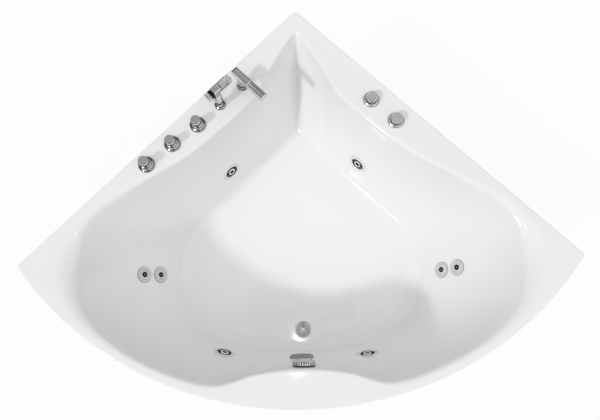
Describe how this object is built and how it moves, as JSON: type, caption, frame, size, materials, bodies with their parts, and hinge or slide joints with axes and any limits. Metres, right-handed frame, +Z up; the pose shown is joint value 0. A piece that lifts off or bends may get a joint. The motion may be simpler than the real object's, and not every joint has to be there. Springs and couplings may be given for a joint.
{
  "type": "corner bathtub",
  "caption": "Corner bathtub with a curved front, deck-mounted filler and hand shower, water jets, pump, and a rotary overflow with a pop-up waste.",
  "frame": {"origin": "middle of the bounding box in plan, on the floor that the feet stand on", "axes": "+Z up, +Y to the back corner of the room, +X to the right seen from the curved front"},
  "size_m": [1.9698, 1.4708, 0.708],
  "materials": {
    "acrylic": "gloss",
    "chrome": "polished",
    "satin_metal": "satin",
    "brass": "cast",
    "copper_pipe": "drawn",
    "black_plastic": "satin",
    "spring_steel": "bright",
    "jet_chrome": "polished",
    "pipe_plastic": "moulded",
    "suction_plastic": "satin",
    "nozzle_plastic": "gloss",
    "board": "raw particle board",
    "frame_steel": "powder coat",
    "zinc_steel": "zinc plated",
    "motor_paint": "painted",
    "rotor_steel": "machined",
    "air_hose": "soft tube",
    "foot_plastic": "moulded"
  },
  "bodies": {
    "tub": {"tub_shell": "acrylic", "valve_flanges": "chrome", "valve_bodies": "brass", "mixer_pipes": "copper_pipe", "shower_holder": "chrome", "spout_base": "chrome", "spout_body": "chrome", "air_regulator_body": "chrome", "button_body": "chrome", "button_spring": "spring_steel", "jet_rings": "jet_chrome", "jet_bodies": "pipe_plastic", "small_jet_rings": "jet_chrome", "small_jet_bodies": "pipe_plastic", "suction_body": "pipe_plastic", "suction_cover": "suction_plastic", "overflow_body": "pipe_plastic", "overflow_pipe": "pipe_plastic", "plug_cable": "black_plastic", "drain_flange": "chrome", "drain_tee": "pipe_plastic", "trap": "pipe_plastic", "base_board": "board", "frame_rails": "frame_steel", "frame_uprights": "frame_steel", "panel_clips": "zinc_steel", "wall_brackets": "zinc_steel", "pump_housing": "black_plastic", "pump_motor": "motor_paint", "water_pipes": "pipe_plastic", "air_pipes": "air_hose"},
    "hot_handle": {"handle_hot": "chrome", "cap_hot": "satin_metal"},
    "cold_handle": {"handle_cold": "chrome", "cap_cold": "satin_metal"},
    "diverter_handle": {"handle_diverter": "chrome", "cap_diverter": "satin_metal"},
    "hand_shower": {"shower_handle": "chrome", "shower_head": "chrome", "shower_band": "black_plastic"},
    "air_regulator": {"air_regulator_knob": "chrome"},
    "push_button": {"air_button": "chrome"},
    "pump_rotor": {"pump_rotor": "rotor_steel"},
    "overflow_knob": {"overflow_knob": "chrome"},
    "drain_plug": {"drain_plug": "chrome"},
    "front_panel": {"front_panel": "acrylic"},
    "jet_1": {"jet_nozzle_1": "nozzle_plastic"},
    "side_jet_1": {"small_jet_1": "nozzle_plastic"},
    "jet_2": {"jet_nozzle_2": "nozzle_plastic"},
    "side_jet_2": {"small_jet_2": "nozzle_plastic"},
    "jet_3": {"jet_nozzle_3": "nozzle_plastic"},
    "side_jet_3": {"small_jet_3": "nozzle_plastic"},
    "jet_4": {"jet_nozzle_4": "nozzle_plastic"},
    "side_jet_4": {"small_jet_4": "nozzle_plastic"},
    "foot_1": {"leveling_foot_1": "foot_plastic"},
    "foot_2": {"leveling_foot_2": "foot_plastic"},
    "foot_3": {"leveling_foot_3": "foot_plastic"},
    "foot_4": {"leveling_foot_4": "foot_plastic"},
    "foot_5": {"leveling_foot_5": "foot_plastic"},
    "foot_6": {"leveling_foot_6": "foot_plastic"}
  },
  "joints": [
    {"name": "hot_turn", "type": "hinge", "parent": "tub", "child": "hot_handle", "pos_m": [-0.553, 0.11361, 0.63], "axis": [0, 0, 1], "range_deg": [0, 90]},
    {"name": "cold_turn", "type": "hinge", "parent": "tub", "child": "cold_handle", "pos_m": [-0.462, 0.19161, 0.63], "axis": [0, 0, 1], "range_deg": [0, 90]},
    {"name": "diverter_turn", "type": "hinge", "parent": "tub", "child": "diverter_handle", "pos_m": [-0.37, 0.26561, 0.63], "axis": [0, 0, 1], "range_deg": [0, 90]},
    {"name": "hand_shower_lift", "type": "slide", "parent": "tub", "child": "hand_shower", "axis": [0, 0, 1], "range_m": [0, 0.12]},
    {"name": "air_regulator_turn", "type": "hinge", "parent": "tub", "child": "air_regulator", "pos_m": [0.28, 0.35061, 0.62], "axis": [0, 0, 1], "range_deg": [0, 270]},
    {"name": "push_button_press", "type": "slide", "parent": "tub", "child": "push_button", "axis": [0, 0, -1], "range_m": [0, 0.005], "stiffness_N_per_m": 600, "springref_m": -0.004, "deforming": ["button_spring"]},
    {"name": "jet_1_turn", "type": "hinge", "parent": "tub", "child": "jet_1", "pos_m": [-0.2857, 0.16962, 0.325], "axis": [0.6712, -0.7123, 0.2054], "continuous": true},
    {"name": "side_jet_1_turn", "type": "hinge", "parent": "tub", "child": "side_jet_1", "pos_m": [-0.62499, -0.26124, 0.348], "axis": [0.7987, 0.0646, 0.5982], "range_deg": [0, 90]},
    {"name": "jet_2_turn", "type": "hinge", "parent": "tub", "child": "jet_2", "pos_m": [0.25323, 0.1963, 0.31], "axis": [-0.6804, -0.7046, 0.2013], "continuous": true},
    {"name": "side_jet_2_turn", "type": "hinge", "parent": "tub", "child": "side_jet_2", "pos_m": [-0.57882, -0.25715, 0.286], "axis": [0.7992, 0.0482, 0.5991], "range_deg": [0, 90]},
    {"name": "jet_3_turn", "type": "hinge", "parent": "tub", "child": "jet_3", "pos_m": [-0.30645, -0.56902, 0.307], "axis": [0.2565, 0.9252, 0.2797], "continuous": true},
    {"name": "side_jet_3_turn", "type": "hinge", "parent": "tub", "child": "side_jet_3", "pos_m": [0.57858, -0.26096, 0.286], "axis": [-0.7992, 0.0546, 0.5985], "range_deg": [0, 90]},
    {"name": "jet_4_turn", "type": "hinge", "parent": "tub", "child": "jet_4", "pos_m": [0.25307, -0.58324, 0.318], "axis": [-0.1315, 0.9587, 0.2523], "continuous": true},
    {"name": "side_jet_4_turn", "type": "hinge", "parent": "tub", "child": "side_jet_4", "pos_m": [0.6237, -0.25856, 0.346], "axis": [-0.7989, 0.0579, 0.5987], "range_deg": [0, 90]},
    {"name": "pump_spin", "type": "hinge", "parent": "tub", "child": "pump_rotor", "pos_m": [0.778, -0.25839, 0.215], "axis": [0, 1, 0], "continuous": true},
    {"name": "overflow_turn", "type": "hinge", "parent": "tub", "child": "overflow_knob", "pos_m": [0.00589, -0.60195, 0.553], "axis": [0.008, 0.9972, 0.0737], "range_deg": [0, 90]},
    {"name": "plug_lift", "type": "slide", "parent": "tub", "child": "drain_plug", "axis": [0, 0, 1], "range_m": [0, 0.01]},
    {"name": "foot_1_screw", "type": "slide", "parent": "tub", "child": "foot_1", "axis": [0, 0, -1], "range_m": [0, 0.02]},
    {"name": "foot_2_screw", "type": "slide", "parent": "tub", "child": "foot_2", "axis": [0, 0, -1], "range_m": [0, 0.02]},
    {"name": "foot_3_screw", "type": "slide", "parent": "tub", "child": "foot_3", "axis": [0, 0, -1], "range_m": [0, 0.02]},
    {"name": "foot_4_screw", "type": "slide", "parent": "tub", "child": "foot_4", "axis": [0, 0, -1], "range_m": [0, 0.02]},
    {"name": "foot_5_screw", "type": "slide", "parent": "tub", "child": "foot_5", "axis": [0, 0, -1], "range_m": [0, 0.02]},
    {"name": "foot_6_screw", "type": "slide", "parent": "tub", "child": "foot_6", "axis": [0, 0, -1], "range_m": [0, 0.02]},
    {"name": "front_panel_off", "type": "slide", "parent": "tub", "child": "front_panel", "axis": [0, -1, 0], "range_m": [0, 0.3]}
  ],
  "couplings": [
    {"joint": "plug_lift", "follows": "overflow_turn", "m_per_rad": 0.00636}
  ]
}
